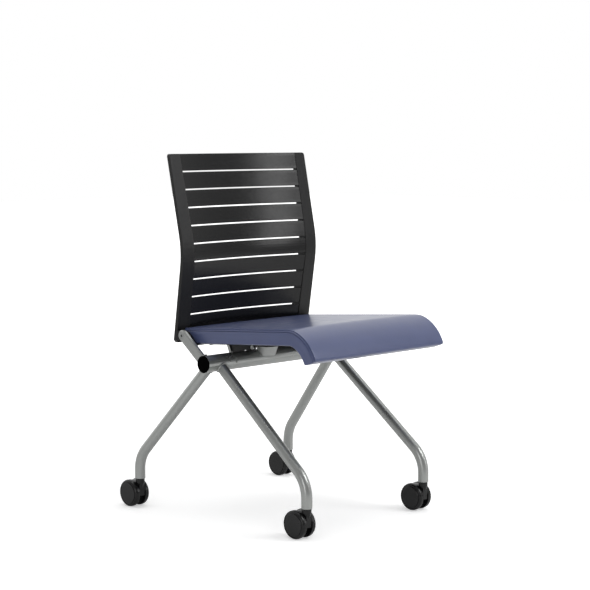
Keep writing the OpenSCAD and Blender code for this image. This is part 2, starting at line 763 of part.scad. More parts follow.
module seat_rail(side) {
    tip = flange_rear_y;
    color(satin_black) chair() sided(side) difference() {
        union() {
            along_x(rail_x - rail_t / 2, rail_x + rail_t / 2) rail_outline();
            along_x(rail_x - flange_half_w, rail_x + flange_half_w)
                polygon([[rail_front_y, rail_top_z(rail_front_y)],
                    [rail_front_y, rail_top_z(rail_front_y) - flange_thick],
                    [tip, rail_top_z(tip) - flange_thick], [tip, rail_top_z(tip)]]);
        }
        rod_x(beam_r + beam_clear, 0, beam_half_length, beam_y, beam_z);
        at_rail_screws() translate([0, 0, -flange_thick - 2 * overrun])
            cylinder(r = screw_r + slip_gap, h = flange_thick + 3 * overrun);
    }
}

// Screws that hold the rails and brackets to the shell, and each rail's cross bolt
cross_bolt_head_r = 5;
cross_bolt_y = toe_front_y + cross_bolt_head_r;
cross_bolt_z = beam_z + beam_r * 1.48;
cross_bolt_head_t = 3;

module seat_screws() {
    color(steel) chair() for (side = [-1, 1]) sided(side) {
        at_rail_screws() {
            under = -slip_gap - flange_thick;
            translate([0, 0, under]) cylinder(r = screw_r, h = shell_t + flange_thick - overrun);
            translate([0, 0, under - screw_head_t]) cylinder(r = 2 * screw_r, h = screw_head_t);
        }
        at_bracket_screws() {
            cylinder(r = screw_r, h = shell_t - overrun);
            translate([0, 0, -screw_head_t]) cylinder(r = 2 * screw_r, h = screw_head_t);
        }
        rod_x(cross_bolt_head_r, rail_x + rail_t / 2, rail_x + rail_t / 2 + cross_bolt_head_t,
            cross_bolt_y, cross_bolt_z);
    }
}

module seat_bushes() {
    color(nylon_white) chair() for (side = [-1, 1]) sided(side) difference() {
        rod_x(seat_bush_r, ear_inner_x, ear_outer_x, pivot_y, pivot_z);
        rod_x(pivot_bolt_d / 2 + running_gap, 0, beam_half_length, pivot_y, pivot_z);
    }
}

// Uprights: a front flange, a rear rib and the lug that turns on the arm's bolt
back_bush_r = pivot_bolt_d / 2 + running_gap + bush_wall;
lug_eye_r = 8.4;
lug_stop_r = 4;
upright_corner_r = 6;

back_heights = concat([back_bottom_z, knee_low_z],
    [for (s = [0.2, 0.4, 0.6, 0.8]) knee_low_z + s * (knee_top_z - knee_low_z)],
    [knee_top_z, back_top_z]);
function rib_y(z) = back_y(z) + (z < knee_low_z ? rib_depth :
    rib_depth + (rib_depth_top - rib_depth) * (z - knee_low_z) / (back_top_z - knee_low_z));

module back_side_outline(ribbed) {
    polygon(concat(
        [for (z = back_heights) [back_y(z), z]],
        [for (i = [len(back_heights) - 1:-1:0]) let (z = back_heights[i])
            [ribbed ? rib_y(z) : back_y(z) + flange_t, z]]));
}

// Front view of an upright, from its inner edge to a given width or to its outer edge
module upright_front(width) {
    bottom_outer = width > 0 ? upright_inner_bottom + width : upright_outer_bottom;
    top_outer = width > 0 ? upright_inner_top + width : upright_outer_top;
    round = width > 0 ? 0 : upright_corner_r;
    polygon([[upright_inner_bottom, back_bottom_z], [bottom_outer - round, back_bottom_z],
        [bottom_outer, back_bottom_z + round], [top_outer, back_top_z - round],
        [top_outer - round * 0.3, back_top_z - round * 0.3],
        [top_outer - round, back_top_z], [upright_inner_top, back_top_z]]);
}

module upright_slab(width, ribbed) {
    intersection() {
        along_x(0, upright_outer_top + overrun) back_side_outline(ribbed);
        translate([0, back_knee_y + rib_depth + wheelbase, 0]) rotate([90, 0, 0])
            linear_extrude(2 * wheelbase) upright_front(width);
    }
}

module lug_outline() {
    low_z = back_bottom_z + upright_corner_r;
    rear_y = back_y(low_z) + flange_t / 2;
    hull() {
        translate([pivot_y, pivot_z]) circle(r = lug_eye_r);
        translate([pivot_y, pivot_z]) rotate([0, 0, arm_angle + 180 + back_tilt_max / 2])
            translate([stop_pin_reach, 0]) circle(r = lug_stop_r);
        polygon([[rear_y, low_z], [rear_y, pivot_z + lug_eye_r], [rear_y - flange_t, low_z]]);
    }
}

module back_upright(side) {
    color(satin_black) chair() sided(side) difference() {
        union() {
            upright_slab(0, false);
            upright_slab(rib_t, true);
            along_x(lug_inner_x, lug_outer_x) lug_outline();
        }
        rod_x(back_bush_r, 0, beam_half_length, pivot_y, pivot_z);
        stop_slot();
    }
}

module back_bushes() {
    color(nylon_white) chair() for (side = [-1, 1]) sided(side) difference() {
        rod_x(back_bush_r, lug_inner_x, lug_outer_x, pivot_y, pivot_z);
        rod_x(pivot_bolt_d / 2 + running_gap, 0, beam_half_length, pivot_y, pivot_z);
    }
}

// Slats, counted from the top: strips of a shallow dish between the uprights
slat_count = 10;
slat_pitch = (back_top_z - top_slat_h - slat_gap - bottom_slat_h - back_bottom_z)
    / (slat_count - 2);
slat_edge = 1;
slat_height_shares = [0.17, 0.34, 0.5, 0.66, 0.83];
dish_r = (pow(upright_inner_top, 2) + pow(slat_hollow, 2)) / (2 * slat_hollow);
dish_axis_y = back_knee_y + slat_hollow - dish_r;
function slat_top_z(i) = i == 1 ? back_top_z :
    back_top_z - top_slat_h - slat_gap - (i - 2) * slat_pitch;
function slat_low_z(i) = i == 1 ? back_top_z - top_slat_h :
    i == slat_count ? back_bottom_z : slat_top_z(i) - slat_pitch + slat_gap;
function dish(z) = back_y(z) + slat_hollow - dish_axis_y;

module slat(i) {
    low = slat_low_z(i);
    high = slat_top_z(i);
    mids = [for (s = slat_height_shares) low + s * (high - low)];
    reach = asin(upright_outer_top / dish_r);
    color(gloss_black) chair() intersection() {
        translate([0, dish_axis_y, 0]) rotate([0, 0, 90 - reach])
            rotate_extrude(angle = 2 * reach, $fn = 360) polygon(concat(
                [[dish(low) + slat_edge, low], [dish(low), low + slat_edge]],
                [for (z = mids) [dish(z), z]],
                [[dish(high), high - slat_edge], [dish(high) + slat_edge, high],
                    [dish(high) + slat_t, high]],
                [for (k = [len(mids) - 1:-1:0]) [dish(mids[k]) + slat_t, mids[k]]],
                [[dish(low) + slat_t, low]]));
        translate([0, back_knee_y + rib_depth + wheelbase, 0]) rotate([90, 0, 0])
            linear_extrude(2 * wheelbase) polygon([
                [-inner_x(low) + slip_gap, low - overrun],
                [inner_x(low) - slip_gap, low - overrun],
                [inner_x(high) - slip_gap, high + overrun],
                [-inner_x(high) + slip_gap, high + overrun]]);
    }
}

cross_beam();
beam_cap(1);  // beam_cap_left
beam_cap(-1);  // beam_cap_right
front_leg(1);  // front_leg_left
front_leg(-1);  // front_leg_right
rear_leg(1);  // rear_leg_left
rear_leg(-1);  // rear_leg_right
back_arm(1);  // back_arm_left
back_arm(-1);  // back_arm_right
beam_saddle();
rail_guide(1);  // rail_guide_left
rail_guide(-1);  // rail_guide_right
rest_cup();
rest_bumper();
stem_sockets();
pivot_bolts();
tilt_stop_pins();
caster_stem(1, true);  // caster_stem_front_left
caster_stem(-1, true);  // caster_stem_front_right
caster_stem(1, false);  // caster_stem_rear_left
caster_stem(-1, false);  // caster_stem_rear_right
caster_housing(1, true);  // caster_housing_front_left
caster_housing(-1, true);  // caster_housing_front_right
caster_housing(1, false);  // caster_housing_rear_left
caster_housing(-1, false);  // caster_housing_rear_right
caster_axle(1, true);  // caster_axle_front_left
caster_axle(-1, true);  // caster_axle_front_right
caster_axle(1, false);  // caster_axle_rear_left
caster_axle(-1, false);  // caster_axle_rear_right
wheel(1, true, false);  // wheel_front_left_inner
wheel(1, true, true);  // wheel_front_left_outer
wheel(-1, true, false);  // wheel_front_right_inner
wheel(-1, true, true);  // wheel_front_right_outer
wheel(1, false, false);  // wheel_rear_left_inner
wheel(1, false, true);  // wheel_rear_left_outer
wheel(-1, false, false);  // wheel_rear_right_inner
wheel(-1, false, true);  // wheel_rear_right_outer
seat_cushion();
seat_shell();
seat_rail(1);  // seat_rail_left
seat_rail(-1);  // seat_rail_right
seat_bracket(1);  // seat_bracket_left
seat_bracket(-1);  // seat_bracket_right
seat_screws();
seat_bushes();
back_upright(1);  // back_upright_left
back_upright(-1);  // back_upright_right
back_bushes();
slat(1);  // slat_1
slat(2);  // slat_2
slat(3);  // slat_3
slat(4);  // slat_4
slat(5);  // slat_5
slat(6);  // slat_6
slat(7);  // slat_7
slat(8);  // slat_8
slat(9);  // slat_9
slat(10);  // slat_10
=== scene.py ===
"""Nesting chair: finishes, upholstery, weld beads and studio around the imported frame."""

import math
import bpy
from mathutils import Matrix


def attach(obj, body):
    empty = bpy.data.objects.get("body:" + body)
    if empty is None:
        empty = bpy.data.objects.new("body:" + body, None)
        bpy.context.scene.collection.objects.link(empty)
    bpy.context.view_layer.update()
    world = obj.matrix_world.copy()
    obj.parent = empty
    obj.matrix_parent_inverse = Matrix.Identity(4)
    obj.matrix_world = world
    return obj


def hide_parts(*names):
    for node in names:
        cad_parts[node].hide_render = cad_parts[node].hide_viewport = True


bl_info = {
    "name": "Nesting Chair Finisher",
    "version": (1, 0, 0),
    "blender": (4, 5, 0),
    "location": "View3D > Sidebar > Nesting Chair",
    "description": "Upholsters and finishes the nesting chair around its packed frame",
    "category": "Object",
}

import bmesh
import bpy
from bpy.props import FloatProperty, FloatVectorProperty, IntProperty, PointerProperty
from mathutils import Vector

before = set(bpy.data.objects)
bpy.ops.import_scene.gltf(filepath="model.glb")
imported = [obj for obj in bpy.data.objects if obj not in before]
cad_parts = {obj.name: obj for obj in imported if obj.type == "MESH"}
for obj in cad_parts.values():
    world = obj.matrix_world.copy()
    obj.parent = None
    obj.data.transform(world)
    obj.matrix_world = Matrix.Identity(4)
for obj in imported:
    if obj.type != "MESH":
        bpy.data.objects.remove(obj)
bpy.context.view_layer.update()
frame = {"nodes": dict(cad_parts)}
NODES = frame["nodes"]

MM = 0.001
# The frame's origin lies this far behind the front caster stems, which lengths below count from
STEM_TO_ORIGIN = 260.866 * MM


def place(x, y, z):
    """A point given in millimetres, with y counted from the front stems."""
    return Vector((x * MM, y * MM - STEM_TO_ORIGIN, z * MM))


def linear(hex_colour):
    """sRGB hex colour as an opaque linear RGBA tuple."""
    values = [int(hex_colour[i:i + 2], 16) / 255 for i in (1, 3, 5)]
    rgb = [v / 12.92 if v <= 0.04045 else ((v + 0.055) / 1.055) ** 2.4 for v in values]
    return (*rgb, 1.0)


def paint(name, description, hex_colour):
    """A colour that the user can change."""
    return FloatVectorProperty(name=name, description=description, subtype="COLOR", size=4,
                               min=0.0, max=1.0, default=linear(hex_colour))


def length(name, description, millimetres):
    """A length that the user can change."""
    return FloatProperty(name=name, description=description, default=millimetres * MM,
                         min=0.0, unit="LENGTH", precision=5)


class SeatSettings(bpy.types.PropertyGroup):
    """Upholstered seat"""
    half_width: length("Half width", "Half the seat's width at the front", 219.6)
    rear_half_width: length("Rear half width", "Half the seat's width at the rear", 209.6)
    thickness: length("Thickness", "Height of the cushion's side", 36.0)
    crown: length("Crown", "Height of the crown before the padding swells", 1.0)
    swell: length("Swell", "The most that the padding may swell", 1.0)
    side_pull: length("Side pull", "How far the side panels are drawn in", 1.3)
    band_width: length("Seam band", "Width of the welt and its grooves along the side seams", 4.2)
    stitch_pitch: length("Stitch pitch", "Distance from stitch to stitch", 3.6)
    stitch_radius: length("Thread radius", "Radius of the sewing thread", 0.32)
    pressure: FloatProperty(name="Pressure", description="Pressure of the padding in the "
                            "cloth simulation", default=4.0, min=0.0)
    frames: IntProperty(name="Frames", description="Frames that the padding is simulated for",
                        default=20, min=2, max=60)


class FrameSettings(bpy.types.PropertyGroup):
    """Welded frame"""
    beam_radius: length("Beam radius", "Outer radius of the cross beam", 20.0)
    leg_radius: length("Leg radius", "Outer radius of the leg tubes", 12.5)
    bead_radius: length("Bead radius", "Radius of the weld beads", 1.9)
    ripple: length("Bead ripple", "Height of the ripples on a weld bead", 0.18)
    ripple_pitch: length("Ripple pitch", "Distance between the ripples", 2.6)


class FinishSettings(bpy.types.PropertyGroup):
    """Colours of the finishes"""
    vinyl: paint("Seat cover", "Coated upholstery of the seat", "#4A5378")
    thread: paint("Thread", "Sewing thread of the seat", "#5A607E")
    powder: paint("Frame", "Powder coat of the frame", "#A6A8A6")
    upright: paint("Uprights", "Moulded nylon of the back's uprights", "#101011")
    slat: paint("Slats", "Polished polypropylene of the slats", "#0D0D0E")
    caster: paint("Casters", "Moulded nylon of the casters", "#0E0E0F")
    cap: paint("End caps", "Polyethylene caps of the beam", "#020202")
    shell: paint("Shell", "Moulded polypropylene under the seat", "#19191A")
    zinc: paint("Zinc", "Zinc plating of bolts, screws and stems", "#A2A4A3")
    rubber: paint("Rubber", "Rubber of the rest bumper", "#121212")
    nylon: paint("Bushes", "Natural nylon of bushes and sockets", "#D2D1C8")


class StageSettings(bpy.types.PropertyGroup):
    """Studio"""
    floor: paint("Floor", "Colour of the floor", "#F4F4F4")
    key: FloatProperty(name="Key light", description="Power of the front softbox", default=40.0,
                       unit="POWER")
    window: FloatProperty(name="Window light", description="Power of the small softbox that the "
                          "slats mirror", default=14.0, unit="POWER")
    fill: FloatProperty(name="Fill light", description="Power of the side softbox",
                        default=16.0, unit="POWER")
    top: FloatProperty(name="Top light", description="Power of the overhead softbox",
                       default=33.0, unit="POWER")
    sky: FloatProperty(name="Surrounding light", description="Strength of the white room's "
                       "light on the object", default=0.5, min=0.0)
    near_wall: FloatProperty(name="Near wall", description="How bright the room's near side "
                             "looks in reflections, beside 1 for the far side", default=0.35,
                             min=0.0, max=1.0)


def settings():
    """The chair's settings in this scene."""
    return bpy.context.scene.nesting_chair


class ChairSettings(bpy.types.PropertyGroup):
    """All settings of the nesting chair"""
    seat: PointerProperty(type=SeatSettings)
    frame: PointerProperty(type=FrameSettings)
    finish: PointerProperty(type=FinishSettings)
    stage: PointerProperty(type=StageSettings)


def add(tree, kind, inputs=None, links=None, **values):
    """Adds a node, sets its values and inputs, and links its inputs to other nodes' outputs."""
    node = tree.nodes.new(kind)
    for name, value in values.items():
        setattr(node, name, value)
    for name, value in (inputs or {}).items():
        node.inputs[name].default_value = value
    for name, (source, output) in (links or {}).items():
        tree.links.new(source.outputs[output], node.inputs[name])
    return node


def surface(name, **inputs):
    """A new material with one Principled shader; constants go on the shader's own sockets."""
    made = bpy.data.materials.new(name)
    made.use_nodes = True
    tree = made.node_tree
    shader = tree.nodes["Principled BSDF"]
    for socket, value in inputs.items():
        shader.inputs[socket.replace("_", " ")].default_value = value
    return made, tree, shader


def object_space(tree):
    """Coordinates that stay with the object, in metres."""
    return add(tree, "ShaderNodeTexCoord")


def noise(tree, where, size_mm, detail=2.0, rough=0.5):
    """Noise whose lumps are about size_mm across."""
    return add(tree, "ShaderNodeTexNoise",
               {"Scale": 1 / (size_mm * MM), "Detail": detail, "Roughness": rough},
               {"Vector": (where, "Object")})


def spread(tree, source, output, low, high):
    """Maps a pattern from 0.3 to 0.7 onto the range from low to high."""
    return add(tree, "ShaderNodeMapRange",
               {"From Min": 0.3, "From Max": 0.7, "To Min": low, "To Max": high},
               {"Value": (source, output)})


def tint(tree, shader, source, output, colour, darker, lighter):
    """Lets a pattern vary the base colour between two shades of it."""
    ramp = add(tree, "ShaderNodeValToRGB", links={"Fac": (source, output)})
    ramp.color_ramp.elements[0].position = 0.3
    ramp.color_ramp.elements[1].position = 0.7
    ramp.color_ramp.elements[0].color = [c * darker for c in colour[:3]] + [1]
    ramp.color_ramp.elements[1].color = [min(1, c * lighter) for c in colour[:3]] + [1]
    tree.links.new(ramp.outputs["Color"], shader.inputs["Base Color"])


def bump(tree, shader, source, output, height_mm, before=None):
    """Raises the surface by a pattern, to a height in millimetres."""
    links = {"Height": (source, output)}
    if before:
        links["Normal"] = (before, "Normal")
    made = add(tree, "ShaderNodeBump", {"Strength": 1.0, "Distance": height_mm * MM}, links)
    tree.links.new(made.outputs["Normal"], shader.inputs["Normal"])
    return made


def powder_coated_steel():
    """Sprayed and baked powder: silver-grey with fine metal flake and faint orange peel."""
    colour = settings().finish.powder
    made, tree, shader = surface("powder_coated_steel", Metallic=0.8, Roughness=0.3, IOR=1.5)
    where = object_space(tree)
    flake = noise(tree, where, 0.9, detail=1.0)
    tint(tree, shader, flake, "Fac", colour, 0.93, 1.07)
    # Orange peel: lumps about 2.5 mm wide, which break the highlights up a little
    peel = noise(tree, where, 2.5)
    bump(tree, shader, peel, "Fac", 0.007)
    handled = noise(tree, where, 60.0, detail=3.0)
    rough = spread(tree, handled, "Fac", 0.27, 0.33)
    tree.links.new(rough.outputs["Result"], shader.inputs["Roughness"])
    return made


def painted_cup():
    """Grey spray paint with hardly any flake: satin, so that the cup stays pale all round
    beside the black rail. Its colour holds painted light: it is lightened to make up for the
    shade under the seat."""
    colour = settings().finish.powder
    made, tree, shader = surface("painted_cup", Metallic=0.15, Roughness=0.42, IOR=1.5)
    where = object_space(tree)
    # Painted light: a fifth lighter than the frame's powder, to make up for the seat's shade
    # on the cup, and cloudy over about 12 mm
    coat = noise(tree, where, 12.0, detail=2.0)
    tint(tree, shader, coat, "Fac", colour, 1.17, 1.27)
    bump(tree, shader, coat, "Fac", 0.02)
    return made


def coated_upholstery():
    """Vinyl cast on a knitted backing and embossed: smooth, with a soft sheen and fine grain."""
    colour = settings().finish.vinyl
    made, tree, shader = surface("coated_upholstery_vinyl", IOR=1.45, Coat_Weight=0.5,
                                 Coat_Roughness=0.19, Coat_IOR=1.4)
    where = object_space(tree)
    # Embossed grain: pebbles about 1.1 mm wide, drawn as shallow as on smooth vinyl
    pebbles = add(tree, "ShaderNodeTexVoronoi", {"Scale": 1 / (1.1 * MM)},
                  {"Vector": (where, "Object")}, feature="SMOOTH_F1")
    grain = bump(tree, shader, pebbles, "Distance", 0.012)
    # Backing that prints through where the cover is stretched over foam
    soft = noise(tree, where, 35.0, detail=2.0)
    bump(tree, shader, soft, "Fac", 0.25, before=grain)
    tint(tree, shader, soft, "Fac", colour, 0.97, 1.03)
    rough = spread(tree, soft, "Fac", 0.34, 0.42)
    tree.links.new(rough.outputs["Result"], shader.inputs["Roughness"])
    return made


def polyester_thread():
    """Twisted sewing thread: a little lighter than the cover, with a dull sheen."""
    colour = settings().finish.thread
    made, tree, shader = surface("polyester_thread", Roughness=0.6, IOR=1.5,
                                 Sheen_Weight=0.2, Sheen_Roughness=0.5)
    where = object_space(tree)
    # Twist of the thread: strands 0.3 mm wide, as coarse as they need to show close up
    twist = noise(tree, where, 0.3, detail=1.0)
    tint(tree, shader, twist, "Fac", colour, 0.85, 1.1)
    bump(tree, shader, twist, "Fac", 0.05)
    return made


def moulded_plastic(name, colour, roughness, grain_mm, grain_height, ior=1.5):
    """Injection-moulded plastic with a spark-eroded grain and a faint flow pattern."""
    made, tree, shader = surface(name, IOR=ior, Roughness=roughness)
    where = object_space(tree)
    grain = noise(tree, where, grain_mm, detail=3.0, rough=0.6)
    first = bump(tree, shader, grain, "Fac", grain_height)
    flow = noise(tree, where, 45.0, detail=2.0)
    bump(tree, shader, flow, "Fac", 0.12, before=first)
    tint(tree, shader, flow, "Fac", colour, 0.92, 1.08)
    rough = spread(tree, flow, "Fac", roughness * 0.9, roughness * 1.1)
    tree.links.new(rough.outputs["Result"], shader.inputs["Roughness"])
    return made


def moulded_nylon():
    """Glass-filled nylon of the uprights: satin black, fine even grain."""
    return moulded_plastic("glass_filled_nylon", settings().finish.upright, 0.38, 0.6, 0.02,
                           ior=1.4)


def polished_polypropylene():
    """Polypropylene from a polished mould: near-black slats with long soft reflections."""
    made, tree, shader = surface("polished_polypropylene", Roughness=0.2, IOR=1.42)
    where = object_space(tree)
    # Sink and flow of the moulding: shallow waves about 30 mm long, which bend reflections
    waves = noise(tree, where, 30.0, detail=1.0)
    bump(tree, shader, waves, "Fac", 0.1)
    tint(tree, shader, waves, "Fac", settings().finish.slat, 0.95, 1.05)
    # Fine wipe marks, which widen the highlights here and there
    wiped = noise(tree, where, 8.0, detail=4.0)
    rough = spread(tree, wiped, "Fac", 0.17, 0.23)
    tree.links.new(rough.outputs["Result"], shader.inputs["Roughness"])
    return made


def caster_nylon():
    """Moulded nylon of wheels and housings: satin black, scuffed a little on the treads."""
    return moulded_plastic("caster_nylon", settings().finish.caster, 0.25, 0.7, 0.02, ior=1.42)


def cap_polyethylene():
    """Moulded polyethylene of the beam's caps: dull, deep black."""
    return moulded_plastic("cap_polyethylene", settings().finish.cap, 0.8, 0.7, 0.03, ior=1.08)


def shell_polypropylene():
    """Textured polypropylene under the seat: matt black with a coarse mould grain."""
    return moulded_plastic("textured_polypropylene", settings().finish.shell, 0.55, 1.2, 0.06)


def black_paint():
    """Baked black paint on the pressed seat brackets: satin, with a little orange peel."""
    return moulded_plastic("baked_black_paint", settings().finish.shell, 0.4, 2.5, 0.03)


def natural_nylon():
    """Turned natural nylon of bushes and sockets: milky white, slightly waxy."""
    made = moulded_plastic("natural_nylon", settings().finish.nylon, 0.45, 0.8, 0.02)
    made.node_tree.nodes["Principled BSDF"].inputs["Subsurface Weight"].default_value = 0.1
    return made


def bumper_rubber():
    """Moulded rubber of the rest bumper: dark, dry and faintly dusty."""
    return moulded_plastic("moulded_rubber", settings().finish.rubber, 0.75, 0.9, 0.05)


# The wave texture repeats after this share of its unit
WAVE_SHARE = 2 * math.pi / 20
TURNING_LINE_MM = 2.513


def zinc_plate():
    """Bright zinc on turned steel: pale metal with turning lines."""
    made, tree, shader = surface("zinc_plated_steel", Metallic=1.0, Roughness=0.3)
    where = object_space(tree)
    # Turning lines about 2.5 mm apart along the chair's width, as coarse as they need to show
    lines = add(tree, "ShaderNodeTexWave",
                {"Scale": WAVE_SHARE / (TURNING_LINE_MM * MM), "Distortion": 0.4},
                {"Vector": (where, "Object")}, bands_direction="X")
    bump(tree, shader, lines, "Fac", 0.01)
    cloud = noise(tree, where, 6.0, detail=3.0)
    tint(tree, shader, cloud, "Fac", settings().finish.zinc, 0.9, 1.05)
    rough = spread(tree, cloud, "Fac", 0.24, 0.38)
    tree.links.new(rough.outputs["Result"], shader.inputs["Roughness"])
    return made


def finish(names, made, smooth_angle=32.0):
    """Gives CAD nodes a material, and shades them smooth across facets."""
    for name in names:
        mesh = NODES[name].data
        mesh.materials.clear()
        mesh.materials.append(made)
        mesh.shade_smooth()
        mesh.set_sharp_from_angle(angle=math.radians(smooth_angle))


def starting(*heads):
    """Names of the CAD nodes that start with any of the words."""
    return [name for name in sorted(NODES) if name.startswith(heads)]


def new_piece(name, mesh, made, body):
    """Links a mesh as a piece that rides on a body."""
    piece = bpy.data.objects.new(name, mesh)
    bpy.context.scene.collection.objects.link(piece)
    mesh.materials.append(made)
    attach(piece, body)
    return piece


def outward_mesh(build, name):
    """Turns a bmesh into a mesh whose faces look outward."""
    bmesh.ops.recalc_face_normals(build, faces=build.faces)
    mesh = bpy.data.meshes.new(name)
    build.to_mesh(mesh)
    build.free()
    return mesh


def tube_ring(build, centre, side, up, radius, sides):
    """A ring of vertices round a point of a tube."""
    return [build.verts.new(centre + (side * math.cos(t) + up * math.sin(t)) * radius)
            for t in (2 * math.pi * k / sides for k in range(sides))]


def tube_faces(build, rings, closed=False):
    """Joins rings into a tube, which is capped unless it closes on itself."""
    sides = len(rings[0])
    pairs = zip(rings, rings[1:] + rings[:1]) if closed else zip(rings, rings[1:])
    for low, high in pairs:
        for k in range(sides):
            m = (k + 1) % sides
            build.faces.new((low[k], low[m], high[m], high[k]))
    if not closed:
        build.faces.new(list(reversed(rings[0])))
        build.faces.new(rings[-1])


class CHAIR_OT_frame_finish(bpy.types.Operator):
    """Powder-coats the welded frame and paints its cup"""
    bl_idname = "chair.frame_finish"
    bl_label = "Powder-coat the frame"

    def execute(self, context):
        grey = powder_coated_steel()
        finish(starting("cross_beam", "front_leg", "rear_leg", "back_arm", "beam_saddle",
                        "rail_guide"), grey)
        # The cup's paint holds painted light: lighter than the frame's powder, against the seat's
        # shade
        finish(starting("rest_cup"), painted_cup())
        finish(starting("beam_cap"), cap_polyethylene())
        return {"FINISHED"}


# Places of the legs' straight runs, as in the frame: the beam's axis and each run's lower end
BEAM_Y = 300.6
BEAM_Z = 366.4
LEG_RUNS = {"front": ((188.3, BEAM_Y, BEAM_Z), (198.6, 0.0, 127.8)),
            "rear": ((209.5, BEAM_Y, BEAM_Z), (252.2, 511.5, 122.5))}
# The arms between their inner faces and the beam's ends, and their pivot's y and z
ARM_INNER_X = 222.5
BEAM_END_X = 233.5
ARM_HALF_WIDTH = 13.0
PIVOT = (378.0, 426.7)
BEAD_SIDES = 10
# Shares of a bead's radius: how far its middle stands out, and what is left at an open end
BEAD_STAND_SHARE = 0.45
BEAD_END_SHARE = 0.5
LEG_BEAD_STEPS = 96
ARM_FACE_STEPS = 28
ARM_EDGE_STEPS = 6
# A direction that no bead runs along
BEAD_REFERENCE = Vector((0.3, 0.2, 1.0))


def leg_bead_path(end, side):
    """Corner line where a leg tube meets the beam, as a closed list of points."""
    frame_sizes = settings().frame
    top, knee = (Vector(p) for p in LEG_RUNS[end])
    top.x *= side
    knee.x *= side
    along = (knee - top).normalized()
    across = along.cross(Vector((1, 0, 0))).normalized()
    up = along.cross(across)
    grow = frame_sizes.bead_radius / MM * BEAD_STAND_SHARE
    a = frame_sizes.leg_radius / MM + grow
    r = frame_sizes.beam_radius / MM + grow
    path = []
    for i in range(LEG_BEAD_STEPS):
        turn = 2 * math.pi * i / LEG_BEAD_STEPS
        out = across * math.cos(turn) + up * math.sin(turn)
        o = out * a
        # Distance along the leg at which this line leaves the beam's surface
        qa = along.y ** 2 + along.z ** 2
        qb = o.y * along.y + o.z * along.z
        qc = o.y ** 2 + o.z ** 2 - r ** 2
        s = (-qb + math.sqrt(qb * qb - qa * qc)) / qa
        path.append(top + o + along * s)
    return path


def arm_bead_path(side):
    """Corner line where an arm sits on the beam: out along one edge, round the inner face and
    back along the other edge."""
    frame_sizes = settings().frame
    grow = frame_sizes.bead_radius / MM * BEAD_STAND_SHARE
    r = frame_sizes.beam_radius / MM + grow
    lean = math.atan2(PIVOT[1] - BEAM_Z, PIVOT[0] - BEAM_Y)
    reach = math.asin((ARM_HALF_WIDTH + grow) / r)

    def on_beam(x, turn):
        return Vector((side * x, BEAM_Y + r * math.cos(turn), BEAM_Z + r * math.sin(turn)))

    inner_x = ARM_INNER_X - grow
    outer_x = BEAM_END_X - frame_sizes.bead_radius / MM
    path = [on_beam(outer_x + (inner_x - outer_x) * i / ARM_EDGE_STEPS, lean - reach)
            for i in range(ARM_EDGE_STEPS)]
    path += [on_beam(inner_x, lean - reach + 2 * reach * i / ARM_FACE_STEPS)
             for i in range(ARM_FACE_STEPS + 1)]
    path += [on_beam(inner_x + (outer_x - inner_x) * i / ARM_EDGE_STEPS, lean + reach)
             for i in range(1, ARM_EDGE_STEPS + 1)]
    return path


def weld_bead(name, path, closed):
    """Sweeps a rippled bead along a path of points in millimetres."""
    frame_sizes = settings().frame
    points = [place(*p) for p in path]
    count = len(points)
    build = bmesh.new()
    rings = []
    run = 0.0
    for i, point in enumerate(points):
        before = points[i - 1] if closed or i else point
        after = points[(i + 1) % count] if closed or i < count - 1 else point
        along = (after - before).normalized()
        run += (point - before).length
        side = along.cross(BEAD_REFERENCE).normalized()
        up = side.cross(along)
        wave = math.sin(2 * math.pi * run / frame_sizes.ripple_pitch)
        r = frame_sizes.bead_radius + frame_sizes.ripple * wave
        if not closed and i in (0, count - 1):
            r *= BEAD_END_SHARE
        rings.append(tube_ring(build, point, side, up, r, BEAD_SIDES))
    tube_faces(build, rings, closed)
    mesh = outward_mesh(build, name)
    mesh.shade_smooth()
    return mesh


class CHAIR_OT_weld_beads(bpy.types.Operator):
    """Lays a weld bead round each leg and each arm where it meets the beam"""
    bl_idname = "chair.weld_beads"
    bl_label = "Weld the frame"

    def execute(self, context):
        grey = bpy.data.materials["powder_coated_steel"]
        for side, side_name in ((1, "left"), (-1, "right")):
            paths = {"front_leg": (leg_bead_path("front", side), True),
                     "rear_leg": (leg_bead_path("rear", side), True),
                     "back_arm": (arm_bead_path(side), False)}
            for head, (path, closed) in paths.items():
                mesh = weld_bead("weld_%s_%s" % (head, side_name), path, closed)
                new_piece(mesh.name, mesh, grey, "frame")
        return {"FINISHED"}


class CHAIR_OT_back_finish(bpy.types.Operator):
    """Finishes the back's uprights and slats"""
    bl_idname = "chair.back_finish"
    bl_label = "Finish the back"

    def execute(self, context):
        finish(starting("back_upright"), moulded_nylon(), smooth_angle=20.0)
        finish(starting("slat_"), polished_polypropylene(), smooth_angle=40.0)
        return {"FINISHED"}


class CHAIR_OT_caster_finish(bpy.types.Operator):
    """Finishes the casters"""
    bl_idname = "chair.caster_finish"
    bl_label = "Finish the casters"

    def execute(self, context):
        finish(starting("caster_housing", "wheel_"), caster_nylon())
        return {"FINISHED"}


class CHAIR_OT_hardware_finish(bpy.types.Operator):
    """Finishes bolts, stems, axles, bushes, sockets, the bumper and the seat's underside"""
    bl_idname = "chair.hardware_finish"
    bl_label = "Finish the hardware"

    def execute(self, context):
        finish(starting("pivot_bolts", "tilt_stop", "seat_screws", "caster_stem",
                        "caster_axle"), zinc_plate())
        finish(starting("seat_bushes", "back_bushes", "stem_sockets"), natural_nylon())
        finish(starting("rest_bumper"), bumper_rubber())
        finish(starting("seat_bracket"), black_paint())
        finish(starting("seat_shell", "seat_rail"), shell_polypropylene())
        return {"FINISHED"}


